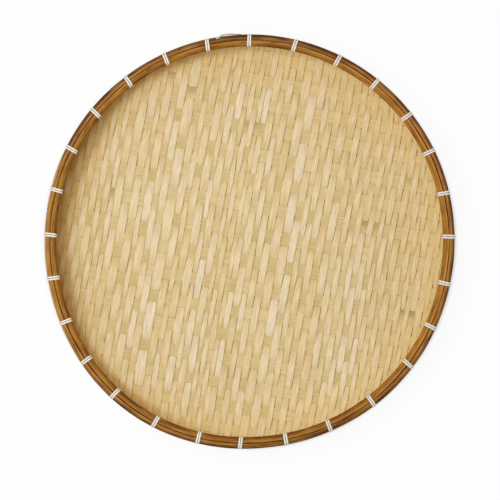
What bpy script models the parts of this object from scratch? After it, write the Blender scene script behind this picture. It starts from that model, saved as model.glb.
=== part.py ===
"""Zaru basket: a shallow round tray of woven split bamboo with a bound double rim.

Lengths are in metres and +Z is up. The origin is the middle of the flat underside.
Angles run anticlockwise round the rim from +X, as seen from above.

The woven mat is one closed shell, open on top, with the weave's full thickness.
Its edge stands up between an inner and an outer bamboo hoop. Each hoop is one bent
strip, and its two tapered ends lap in a scarf. Each lashing is one flat strand, wound
twice round both hoops and through a slot in the mat just below them. One loose end of
strand bulges out along the outer hoop.
"""

import math
import random

import bmesh
import bpy
from mathutils import Matrix, Vector

# Clearance that two touching pieces keep
FIT_GAP = 0.0003

# Rim, over the outer hoop
RIM_DIAMETER = 0.400
RIM_TOP_HEIGHT = 0.042
RIM_OVAL = 0.0012
RIM_LONG_AXIS_DEG = 73.0
RING_STEPS = 72
SHARP_EDGE_DEG = 35.0

# Hoops: strips that stand on edge, rounded on the side away from the mat
HOOP_HEIGHT = 0.016
INNER_HOOP_WIDTH = 0.0056
OUTER_HOOP_WIDTH = 0.0047
HOOP_FAR_ROUND = 0.0022
HOOP_NEAR_ROUND = 0.0008
FAR_ROUND_STEPS = 2
NEAR_ROUND_STEPS = 1

# Scarf laps, where a hoop's two ends pass each other
SCARF_LENGTH = 0.060
SCARF_TIP = 0.0008
SCARF_STEP = 0.0010
INNER_SCARF_DEG = 347.0
OUTER_SCARF_DEG = 154.0

# Woven mat
MAT_THICKNESS = 0.0018
MAT_EDGE_THICKNESS = 0.0010
MAT_EDGE_BELOW_TOP = 0.0010
FLOOR_RADIUS = 0.145
WALL_CURVE_HEIGHT = 0.0234
WALL_CURVE_STEPS = 7

# Lashings: a flat strand, wound twice round the rim, a little off the curved hoops
STRAND_WIDTH = 0.00185
STRAND_CROWN_WIDTH = 0.0014
STRAND_THICKNESS = 0.0008
STRAND_PITCH = 0.0023
STRAND_TAIL = 0.0030
STRAND_GAP = 0.0005
LASHING_TURNS = 2
LASHING_LEAN_DEG = 2.5
LASHING_LEAN_SEED = 7
SLOT_OVERRUN = 0.0020

# Where each lashing is tied, in degrees round the rim. They are spaced by hand.
LASHING_ANGLES_DEG = (
    1.5, 14, 26.5, 38.5, 51.5, 64, 77, 90, 102, 114.5, 127, 140, 152.5, 165,
    178, 190.5, 203.5, 216, 228.5, 242.5, 255.5, 267.5, 280.5, 293.5, 307.5, 322.5, 335, 348,
)

# Loose end of strand along the outer hoop, at the lashing tied at 90 degrees
LOOSE_START_DEG = 92.0
LOOSE_END_DEG = 99.2
LOOSE_BULGE = 0.0022
LOOSE_START_DEPTH = 0.0090
LOOSE_END_DEPTH = 0.0016
LOOSE_STEPS = 10

# Colours as red, green, blue, alpha
STRAW = (0.70, 0.55, 0.31, 1.0)
AMBER = (0.36, 0.17, 0.045, 1.0)
WHITE = (0.82, 0.82, 0.78, 1.0)

RIM_RADIUS = RIM_DIAMETER / 2
OUTER_HOOP_RADIUS = RIM_RADIUS - OUTER_HOOP_WIDTH
WALL_OUTER_RADIUS = OUTER_HOOP_RADIUS - FIT_GAP
WALL_MIDDLE_RADIUS = WALL_OUTER_RADIUS - MAT_EDGE_THICKNESS / 2
WALL_INNER_RADIUS = WALL_OUTER_RADIUS - MAT_EDGE_THICKNESS
INNER_HOOP_RADIUS = WALL_INNER_RADIUS - FIT_GAP - INNER_HOOP_WIDTH
RIM_MIDDLE_RADIUS = (INNER_HOOP_RADIUS + RIM_RADIUS) / 2
HOOP_BOTTOM_HEIGHT = RIM_TOP_HEIGHT - HOOP_HEIGHT


def on_rim(radius, angle, height):
    """The point at this radius and angle, on rings that are slightly longer one way."""
    oval = RIM_OVAL / RIM_RADIUS * math.cos(2 * (angle - math.radians(RIM_LONG_AXIS_DEG)))
    stretched = radius * (1 + oval)
    return Vector((stretched * math.cos(angle), stretched * math.sin(angle), height))


def bamboo(name, colour, roughness):
    """A plain material with this colour and roughness."""
    material = bpy.data.materials.new(name)
    material.use_nodes = True
    shader = material.node_tree.nodes["Principled BSDF"]
    shader.inputs["Base Color"].default_value = colour
    shader.inputs["Roughness"].default_value = roughness
    shader.inputs["Metallic"].default_value = 0
    material.diffuse_color = colour
    return material


def finished_mesh(name, points, faces, material):
    """A mesh of this material, shaded smooth except at its sharp edges."""
    mesh = bpy.data.meshes.new(name)
    mesh.from_pydata(points, [], faces)
    mesh.shade_smooth()
    mesh.set_sharp_from_angle(angle=math.radians(SHARP_EDGE_DEG))
    mesh.materials.append(material)
    return mesh


def swept_mesh(name, sections, material):
    """A bar with flat ends, skinned over cross-sections with equal numbers of points.

    Each cross-section runs anticlockwise for someone who looks along the bar.
    """
    count = len(sections[0])
    points = [point for section in sections for point in section]
    faces = [tuple(range(count)), tuple(reversed(range(len(points) - count, len(points))))]
    for near in range(0, len(points) - count, count):
        far = near + count
        for i in range(count):
            j = (i + 1) % count
            faces.append((near + j, near + i, far + i, far + j))
    return finished_mesh(name, points, faces, material)


def turned_mesh(name, outline, material):
    """A solid of revolution. Its outline starts on the axis on top and ends on it below."""
    start, *rings, end = outline
    points = [Vector((0, 0, start[1]))]
    for radius, height in rings:
        for step in range(RING_STEPS):
            points.append(on_rim(radius, math.tau * step / RING_STEPS, height))
    points.append(Vector((0, 0, end[1])))
    last = len(points) - 1
    faces = []
    for i in range(RING_STEPS):
        j = (i + 1) % RING_STEPS
        faces.append((0, 1 + i, 1 + j))
        faces.append((last, last - RING_STEPS + j, last - RING_STEPS + i))
        for near in range(1, last - RING_STEPS, RING_STEPS):
            far = near + RING_STEPS
            faces.append((near + j, near + i, far + i, far + j))
    return finished_mesh(name, points, faces, material)


def place(name, mesh, parent, location=(0, 0, 0), turn=0):
    """A named object with this mesh, turned about the vertical, carried by the parent."""
    piece = bpy.data.objects.new(name, mesh)
    piece.location = location
    piece.rotation_euler.z = turn
    piece.parent = parent
    bpy.context.scene.collection.objects.link(piece)
    return piece


def mat_outline():
    """The mat's cross-section from the axis: floor, curved wall, edge, and back below."""
    run = WALL_MIDDLE_RADIUS - FLOOR_RADIUS
    rise = WALL_CURVE_HEIGHT - MAT_THICKNESS / 2
    inside, outside = [], []
    for step in range(WALL_CURVE_STEPS + 1):
        share = step / WALL_CURVE_STEPS
        turn = share * math.pi / 2
        radius = FLOOR_RADIUS + run * math.sin(turn)
        height = MAT_THICKNESS / 2 + rise * (1 - math.cos(turn))
        slope = math.atan2(rise * math.sin(turn), run * math.cos(turn))
        half = ((1 - share) * MAT_THICKNESS + share * MAT_EDGE_THICKNESS) / 2
        across, up = -math.sin(slope) * half, math.cos(slope) * half
        inside.append((radius + across, height + up))
        outside.append((radius - across, height - up))
    edge_height = RIM_TOP_HEIGHT - MAT_EDGE_BELOW_TOP
    edge = [(WALL_INNER_RADIUS, edge_height), (WALL_OUTER_RADIUS, edge_height)]
    return [(0, MAT_THICKNESS), *inside, *edge, *reversed(outside), (0, 0)]


def hoop_rounds(rounded_inside):
    """Radius and steps of a hoop's corners, on its hollow side and on its outer side."""
    far, near = (HOOP_FAR_ROUND, FAR_ROUND_STEPS), (HOOP_NEAR_ROUND, NEAR_ROUND_STEPS)
    return (far, near) if rounded_inside else (near, far)


def hoop_shares(width, rounded_inside):
    """Where a hoop's cross-section has points, as shares of the way across it."""
    (low_round, low_steps), (high_round, high_steps) = hoop_rounds(rounded_inside)
    low = [low_round * (1 - math.cos(math.pi / 2 * i / low_steps)) for i in range(low_steps + 1)]
    high = [high_round * (1 - math.cos(math.pi / 2 * i / high_steps)) for i in range(high_steps + 1)]
    return [x / width for x in low] + [1 - x / width for x in reversed(high)]


def corner_drop(x, width, rounded_inside):
    """How far a hoop's round corners draw its top down, at this distance across it."""
    (low_round, _), (high_round, _) = hoop_rounds(rounded_inside)
    for radius, past in ((low_round, low_round - x), (high_round, x - width + high_round)):
        if past > 0:
            return radius - math.sqrt(max(radius**2 - past**2, 0))
    return 0


def hoop_stations(width):
    """Where a hoop is sampled: turn along the strip, and what it keeps of its width there.

    The strip runs one full turn and a scarf. Its first end tapers along the hollow side,
    its last end along the outer side, and each blunt tip has a step to stop against.
    """
    scarf = SCARF_LENGTH / RIM_RADIUS
    gap, step = FIT_GAP / RIM_RADIUS, SCARF_STEP / RIM_RADIUS
    taper = width - 2 * SCARF_TIP - FIT_GAP
    last = math.tau + scarf
    turns = {0, scarf, scarf + gap, scarf + gap + step, last}
    turns |= {math.tau - gap - step, math.tau - gap}
    even = [math.tau * i / RING_STEPS for i in range(math.ceil(RING_STEPS * last / math.tau))]
    turns |= {turn for turn in even if min(abs(turn - other) for other in turns) > step}
    stations = []
    for turn in sorted(turns):
        low, high = 0, width
        if turn < scarf + gap + step:
            high = SCARF_TIP + taper * min(turn / scarf, 1)
        if turn > math.tau - gap - step:
            low = SCARF_TIP + FIT_GAP + taper * max(turn - math.tau, 0) / scarf
        stations.append((turn, low, high))
    return stations


def hoop_mesh(name, inner_radius, width, rounded_inside, scarf_deg, material):
    """One bent strip whose two ends lap in a scarf that starts at the given angle."""
    shares = hoop_shares(width, rounded_inside)
    sections = []
    for turn, low, high in hoop_stations(width):
        angle = math.radians(scarf_deg) + turn
        below, above = [], []
        for share in shares:
            x = low + share * (high - low)
            drop = corner_drop(x, width, rounded_inside)
            below.append(on_rim(inner_radius + x, angle, HOOP_BOTTOM_HEIGHT + drop))
            above.append(on_rim(inner_radius + x, angle, RIM_TOP_HEIGHT - drop))
        sections.append(below + above[::-1])
    return swept_mesh(name, sections, material)


def winding_path():
    """One turn round the rim, as points (across, height) and the outward direction there.

    Across is measured outwards from the middle of the rim. The turn starts under the
    outer hoop, climbs outside it, crosses the top and comes back below the inner hoop.
    """
    inner = INNER_HOOP_RADIUS - STRAND_GAP - RIM_MIDDLE_RADIUS
    outer = RIM_RADIUS + STRAND_GAP - RIM_MIDDLE_RADIUS
    bottom, top = HOOP_BOTTOM_HEIGHT - STRAND_GAP, RIM_TOP_HEIGHT + STRAND_GAP
    bend = HOOP_FAR_ROUND + STRAND_GAP
    path = []
    for x, z, first_deg in (
        (outer - bend, bottom + bend, -90),
        (outer - bend, top - bend, 0),
        (inner + bend, top - bend, 90),
        (inner + bend, bottom + bend, 180),
    ):
        for step in range(FAR_ROUND_STEPS + 1):
            turn = math.radians(first_deg + 90 * step / FAR_ROUND_STEPS)
            outwards = Vector((math.cos(turn), 0, math.sin(turn)))
            path.append((Vector((x, 0, z)) + bend * outwards, outwards))
    return path


def strand_section(centre, outwards, sideways):
    """Four corners of the flat strand, which lies with its wide face on what it wraps."""
    crown = centre + STRAND_THICKNESS * outwards
    return [
        centre - sideways * STRAND_WIDTH / 2,
        centre + sideways * STRAND_WIDTH / 2,
        crown + sideways * STRAND_CROWN_WIDTH / 2,
        crown - sideways * STRAND_CROWN_WIDTH / 2,
    ]


def lashing_sections():
    """Cross-sections of a lashing, which steps sideways at a steady rate as it winds."""
    path = winding_path()
    underside, down = path[0][0].copy(), path[0][1]
    underside.x = WALL_OUTER_RADIUS + FIT_GAP - RIM_MIDDLE_RADIUS
    finish = underside + Vector((STRAND_TAIL, 0, 0))
    route = [(underside, down)] + path * LASHING_TURNS + [(finish, down)]
    one_turn = sum((b[0] - a[0]).length for a, b in zip(path, path[1:] + path[:1]))
    sideways = Vector((0, 1, 0))
    shift, sections = -STRAND_PITCH * LASHING_TURNS / 2, []
    before = underside
    for point, outwards in route:
        shift += STRAND_PITCH * (point - before).length / one_turn
        before = point
        sections.append(strand_section(point + shift * sideways, outwards, sideways))
    return sections


def least_gap_between_turns(sections):
    """The shortest distance between sections of a winding one turn or so apart."""
    turn = len(winding_path())
    near = turn // 2
    return min(
        (a - b).length
        for i, first in enumerate(sections)
        for second in sections[i + near:]
        for a in first
        for b in second
    )


def lashing_places():
    """Angle, location and turn of every lashing. Each leans a little its own way."""
    lean = random.Random(LASHING_LEAN_SEED)
    for degrees in LASHING_ANGLES_DEG:
        angle = math.radians(degrees)
        tilt = math.radians(lean.uniform(-LASHING_LEAN_DEG, LASHING_LEAN_DEG))
        yield on_rim(RIM_MIDDLE_RADIUS, angle, 0), angle + tilt


def slot_cutter():
    """Blocks that cut a slot for both turns of each lashing through the mat's wall."""
    long = MAT_EDGE_THICKNESS + 2 * SLOT_OVERRUN
    wide = STRAND_PITCH * LASHING_TURNS + STRAND_WIDTH + 2 * FIT_GAP
    tall = STRAND_THICKNESS + 2 * FIT_GAP
    middle = Vector((
        WALL_MIDDLE_RADIUS - RIM_MIDDLE_RADIUS,
        0,
        HOOP_BOTTOM_HEIGHT - STRAND_GAP - STRAND_THICKNESS / 2,
    ))
    blocks = bmesh.new()
    for location, turn in lashing_places():
        place_block = (
            Matrix.Translation(location)
            @ Matrix.Rotation(turn, 4, "Z")
            @ Matrix.Translation(middle)
            @ Matrix.Diagonal((long, wide, tall, 1))
        )
        bmesh.ops.create_cube(blocks, size=1, matrix=place_block)
    mesh = bpy.data.meshes.new("slot_cutter")
    blocks.to_mesh(mesh)
    blocks.free()
    return mesh


def loose_strand_mesh(material):
    """A strand end that comes up along the outer hoop, bulges out and tucks back in."""
    start, end = math.radians(LOOSE_START_DEG), math.radians(LOOSE_END_DEG)
    sections = []
    for step in range(LOOSE_STEPS + 1):
        share = step / LOOSE_STEPS
        angle = start + share * (end - start)
        out = RIM_RADIUS + FIT_GAP + LOOSE_BULGE * math.sin(share * math.pi) ** 2
        climb = math.sin(share * math.pi / 2)
        depth = (1 - climb) * LOOSE_START_DEPTH + climb * LOOSE_END_DEPTH
        top = RIM_TOP_HEIGHT - depth
        sections.append([
            on_rim(out, angle, top),
            on_rim(out, angle, top - STRAND_WIDTH),
            on_rim(out + STRAND_THICKNESS, angle, top - STRAND_WIDTH),
            on_rim(out + STRAND_THICKNESS, angle, top),
        ])
    return swept_mesh("loose_strand_end", sections, material)


def build_mat(parent, material):
    """The woven mat, with a slot under the rim at each lashing."""
    mat = place("woven_mat", turned_mesh("woven_mat", mat_outline(), material), parent)
    cutter = place("slot_cutter", slot_cutter(), parent)
    cutter.hide_render = True
    cutter.display_type = "WIRE"
    slots = mat.modifiers.new("lashing_slots", "BOOLEAN")
    slots.operation = "DIFFERENCE"
    slots.solver = "EXACT"
    slots.object = cutter


def build_hoops(parent, material):
    """The inner and the outer hoop."""
    inner = hoop_mesh("inner_hoop", INNER_HOOP_RADIUS, INNER_HOOP_WIDTH, True, INNER_SCARF_DEG, material)
    outer = hoop_mesh("outer_hoop", OUTER_HOOP_RADIUS, OUTER_HOOP_WIDTH, False, OUTER_SCARF_DEG, material)
    place("inner_hoop", inner, parent)
    place("outer_hoop", outer, parent)


def build_lashings(parent, material):
    """Every lashing round the rim, and the loose end beside one of them."""
    sections = lashing_sections()
    print(f"Least gap between a lashing's turns: {least_gap_between_turns(sections) * 1000:.2f} mm")
    mesh = swept_mesh("lashing", sections, material)
    for number, (location, turn) in enumerate(lashing_places(), start=1):
        place(f"lashing_{number:02d}", mesh, parent, location, turn)
    place("loose_strand_end", loose_strand_mesh(material), parent)


def main():
    for old in list(bpy.data.objects):
        bpy.data.objects.remove(old)
    basket = place("zaru_basket", None, None)
    build_mat(basket, bamboo("pale bamboo", STRAW, 0.55))
    build_hoops(basket, bamboo("amber bamboo", AMBER, 0.38))
    build_lashings(basket, bamboo("white strand", WHITE, 0.45))


main()
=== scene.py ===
"""A shallow round tray of flat woven bamboo, held between two bent hoops and bound in white.

Lengths are in metres, +Z is up, and the tray rests on z = 0 with its open side up. The
long strips lean about ten degrees from +Y towards +X, and the cross strips lie square to
them. A place on the mat is given flat, as (a, t): a runs across the long strips, to the
right, and t runs along them, away from the viewer.
"""
import logging
import math
import random
from dataclasses import dataclass, field
from enum import Enum
from functools import cached_property
from typing import Union

import bpy
import numpy as np
from numpy.typing import NDArray
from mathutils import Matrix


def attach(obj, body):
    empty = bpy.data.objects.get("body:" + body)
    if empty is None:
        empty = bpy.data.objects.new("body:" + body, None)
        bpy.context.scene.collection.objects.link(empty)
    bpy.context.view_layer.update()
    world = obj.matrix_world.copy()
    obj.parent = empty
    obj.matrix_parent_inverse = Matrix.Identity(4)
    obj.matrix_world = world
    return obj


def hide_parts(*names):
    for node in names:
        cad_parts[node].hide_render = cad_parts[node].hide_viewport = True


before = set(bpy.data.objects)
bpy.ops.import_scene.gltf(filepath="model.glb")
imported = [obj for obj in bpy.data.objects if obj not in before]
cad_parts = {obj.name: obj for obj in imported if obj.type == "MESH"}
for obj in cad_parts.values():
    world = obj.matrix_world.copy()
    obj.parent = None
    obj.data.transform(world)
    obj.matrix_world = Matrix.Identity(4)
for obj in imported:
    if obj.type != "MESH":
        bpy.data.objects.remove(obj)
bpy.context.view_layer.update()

Array = NDArray[np.float64]
Colour = tuple[float, float, float]
Span = tuple[float, float]
Fade = tuple[float, float, float, float]
Grain = tuple[float, float, float, float]
Stripe = tuple[tuple[float, Colour], ...]
Object = bpy.types.Object
Objects = list[Object]
Material = bpy.types.Material
Tree = bpy.types.NodeTree
Socket = bpy.types.NodeSocket
Sockets = dict[str, Socket]
Value = Union[Socket, float, tuple]

GRAIN_SIZES = ("Streak Length", "Streak Width", "Fibre Length", "Fibre Width")
WANDER_FALL = 1.3
WANDER_PEAK = 1.6
SEED_STEP = 7.31
FIBRE_SHIFT = 3.7
STREAK_SPAN = (0.34, 0.66)
FIBRE_SPAN = (0.30, 0.72)
FIBRE_ROUGH = 0.6

log = logging.getLogger("zaru")


def linear(red: int, green: int, blue: int) -> Colour:
    """A display colour of 0 to 255 as the linear one: a straight foot, then a power of 2.4."""
    shares = [part / 255 for part in (red, green, blue)]
    return tuple(s / 12.92 if s <= 0.04045 else ((s + 0.055) / 1.055) ** 2.4 for s in shares)


def stripe(*stops: tuple[float, int, int, int]) -> Stripe:
    """Rows of a place and a display colour, as the stops of a row of colours."""
    return tuple((place, linear(*colour)) for place, *colour in stops)


def placed(name: str, data: bpy.types.ID) -> Object:
    """Puts a new object at the origin of the scene.

    Args:
        name: the object's name.
        data: the mesh, light or camera that it holds.

    Returns:
        The object.
    """
    made = bpy.data.objects.new(name, data)
    bpy.context.scene.collection.objects.link(made)
    return made


def eased(x: Array, low: float = 0.0, high: float = 1.0) -> Array:
    """A place between low and high as a share s, held to 0..1 and eased: 3 s^2 - 2 s^3."""
    share = np.clip((x - low) / (high - low), 0, 1)
    return share * share * (3 - 2 * share)


def run_along(path: Array) -> Array:
    """The length of a flat path up to each of its points."""
    return np.concatenate([[0], np.cumsum(np.hypot(*np.diff(path, axis=0).T))])


def wander(rng: np.random.Generator, where: Array, wavelength: float, waves: int = 4) -> Array:
    """A gentle, seeded drift, about -1 to 1: sin(tau k^1.3 x / wavelength + phase) / k, summed.

    Args:
        rng: the source of the phases.
        where: places along the line.
        wavelength: the longest wave's length.
        waves: how many waves are added.

    Returns:
        The drift at each place.
    """
    total = np.zeros_like(where)
    for order in range(1, waves + 1):
        phase = rng.uniform(0, math.tau)
        total = total + np.sin(math.tau * where * order ** WANDER_FALL / wavelength + phase) / order
    return total / WANDER_PEAK


@dataclass(frozen=True)
class Sweep:
    """The skin of one bar: stations along it, each a closed loop of points.

    Attributes:
        points: places, shaped (stations, around, 3). A loop runs clockwise for someone who
            looks along the bar, its first half on the upper face and its second half
            straight below the first, in reverse.
        lay: (along, across, seed) at each point, shaped as the points are.
        marks: named values at each point, shaped (stations, around).
    """

    points: Array
    lay: Array
    marks: dict[str, Array]

    @classmethod
    def spread(cls, points: Array, lay: tuple[Array, Array, float], **marks: Array) -> "Sweep":
        """A sweep whose lay (along, across, seed) and marks are spread over all its points."""
        shape = points.shape[:2]
        return cls(points, np.stack([np.broadcast_to(part, shape) for part in lay], -1),
                   {name: np.broadcast_to(mark, shape) for name, mark in marks.items()})

    def quads(self) -> NDArray[np.int32]:
        """Four corners of each face: the skin's grid, then each end closed by a row of quads.

        Returns:
            Corner numbers, shaped (faces, 4), all facing outwards.
        """
        stations, around = self.points.shape[:2]
        near = np.arange(stations - 1)[:, None] * around
        here = np.arange(around)
        beside = (here + 1) % around
        skin = np.stack(np.broadcast_arrays(
            near + here, near + beside, near + around + beside, near + around + here), -1)
        half = np.arange(around // 2 - 1)
        cap = np.stack([half, half + 1, around - 2 - half, around - 1 - half], -1)
        last = cap + (stations - 1) * around
        return np.concatenate([skin.reshape(-1, 4), cap[:, ::-1], last]).astype(np.int32)


@dataclass
class Piece:
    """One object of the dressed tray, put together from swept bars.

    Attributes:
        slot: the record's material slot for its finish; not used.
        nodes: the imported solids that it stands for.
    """

    name: str
    slot: str
    nodes: list[str]
    sweeps: list[Sweep]

    def build(self) -> Object:
        """Joins the bars' points and faces into one smooth mesh at the origin.

        Returns:
            The object, riding on the tray's one body.
        """
        starts = np.cumsum([0] + [sweep.points[..., 0].size for sweep in self.sweeps])
        points = np.concatenate([sweep.points.reshape(-1, 3) for sweep in self.sweeps])
        quads = np.concatenate([sweep.quads() + start for sweep, start in zip(self.sweeps, starts)])
        mesh = bpy.data.meshes.new(self.name)
        mesh.vertices.add(len(points))
        mesh.vertices.foreach_set("co", points.astype(np.float32).ravel())
        mesh.loops.add(quads.size)
        mesh.loops.foreach_set("vertex_index", quads.ravel())
        mesh.polygons.add(len(quads))
        mesh.polygons.foreach_set("loop_start", np.arange(0, quads.size, 4, dtype=np.int32))
        mesh.update(calc_edges=True)
        mesh.shade_smooth()
        lay = mesh.attributes.new("lay", "FLOAT_VECTOR", "POINT")
        lay.data.foreach_set("vector", self._joined([sweep.lay for sweep in self.sweeps]))
        for mark in self.sweeps[0].marks:
            values = mesh.attributes.new(mark, "FLOAT", "POINT")
            values.data.foreach_set("value", self._joined([s.marks[mark] for s in self.sweeps]))
        mesh.validate()
        piece = placed(self.name, mesh)
        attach(piece, "root")
        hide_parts(*self.nodes)
        log.info("%s: %d bars, %d faces", self.name, len(self.sweeps), len(quads))
        return piece

    @staticmethod
    def _joined(parts: list[Array]) -> NDArray[np.float32]:
        """The parts as one flat row of numbers."""
        return np.concatenate([part.ravel() for part in parts]).astype(np.float32)


class Assembly:
    """A sub-assembly of the tray, which is built and then dressed."""

    def build(self) -> Objects:
        """Builds the pieces."""
        raise NotImplementedError

    @staticmethod
    def dress(built: Objects, finish: Material) -> None:
        """Gives the built pieces their finish."""
        for piece in built:
            piece.data.materials.append(finish)


@dataclass(frozen=True)
class Section:
    """A strip's cross-section: flat, with softened edges.

    Attributes:
        sides: places across of the upper face's points, -1 to 1.
        crowns: each one's share of the full height.
    """

    sides: tuple[float, ...]
    crowns: tuple[float, ...]

    def points(self, width: float, top: float, bottom: float) -> tuple[Array, Array, Array]:
        """Across, height and side: the upper face, at height top, then the lower one back."""
        side, crown = np.array(self.sides + self.sides[::-1]), np.array(self.crowns)
        return side * width / 2, np.concatenate([crown * top, crown[::-1] * bottom]), side


@dataclass(frozen=True)
class Dish:
    """The surface that the flat mat is bent into: floor, quarter ellipse, short upright edge.

    A flat place keeps its direction from the middle, and its distance from the middle
    becomes a length along the profile.

    Attributes:
        waves: how the hand-bent rim departs from a circle: order, share, and peak.
        slot_height: height above which the mat is gripped between the hoops.
    """

    floor_radius: float = 0.1450
    wall_radius: float = 0.19490
    floor_height: float = 0.00094
    curve_height: float = 0.0234
    edge_height: float = 0.0396
    waves: tuple[tuple[int, float, float], ...] = (
        (2, 0.0060, 73.0), (3, 0.0021, 1.0), (4, 0.0026, 52.5), (5, 0.0011, 19.0))
    slot_height: float = 0.0245
    slot_lead: float = 0.004
    slot_squeeze: float = 0.19
    steps: int = 400

    def profile(self) -> tuple[Array, Array, Array, Array]:
        """The profile as a table.

        Returns:
            Length along the profile, radius, height, and slope in radians.
        """
        turn = np.linspace(0, math.pi / 2, self.steps)
        run = self.wall_radius - self.floor_radius
        rise = self.curve_height - self.floor_height
        radius = np.concatenate([[0], self.floor_radius + run * np.sin(turn), [self.wall_radius]])
        curve = self.floor_height + rise * (1 - np.cos(turn))
        height = np.concatenate([[self.floor_height], curve, [self.edge_height]])
        slope = np.arctan2(rise * np.sin(turn), run * np.cos(turn))
        slope = np.concatenate([[0], slope, [math.pi / 2]])
        return run_along(np.stack([radius, height], -1)), radius, height, slope

    def edge_length(self) -> float:
        """The flat mat's radius: the whole length of the profile."""
        return float(self.profile()[0][-1])

    def lay(self, x: Array, y: Array, lift: Array) -> Array:
        """Flat places, and how far they are lifted off the mat's middle, bent into the dish.

        The lift goes along the surface's upper normal, (-sin slope, cos slope) in radius
        and height, and is squeezed where the mat is gripped between the hoops.

        Args:
            x: flat places, to the right.
            y: flat places, away from the viewer.
            lift: height over the middle of the mat.

        Returns:
            Places in space, with a last axis of three.
        """
        table = self.profile()
        length = np.minimum(np.hypot(x, y), table[0][-1])
        angle = np.arctan2(y, x)
        radius, height, slope = (np.interp(length, table[0], column) for column in table[1:])
        grip = np.clip((height - self.slot_height) / self.slot_lead + 1, 0, 1)
        lift = lift * (1 - (1 - self.slot_squeeze) * grip)
        radius = (radius - lift * np.sin(slope)) * self.stretch(angle)
        height = height + lift * np.cos(slope)
        return np.stack([radius * np.cos(angle), radius * np.sin(angle), height], -1)

    def stretch(self, angle: Array) -> Array:
        """How a radius is stretched at this angle: 1 + sum of share x cos(order x (angle - peak))."""
        return 1 + sum(share * np.cos(order * (angle - math.radians(peak)))
                       for order, share, peak in self.waves)


class Way(Enum):
    """The two ways that strips run."""

    LONG = "long"
    CROSS = "cross"


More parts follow.
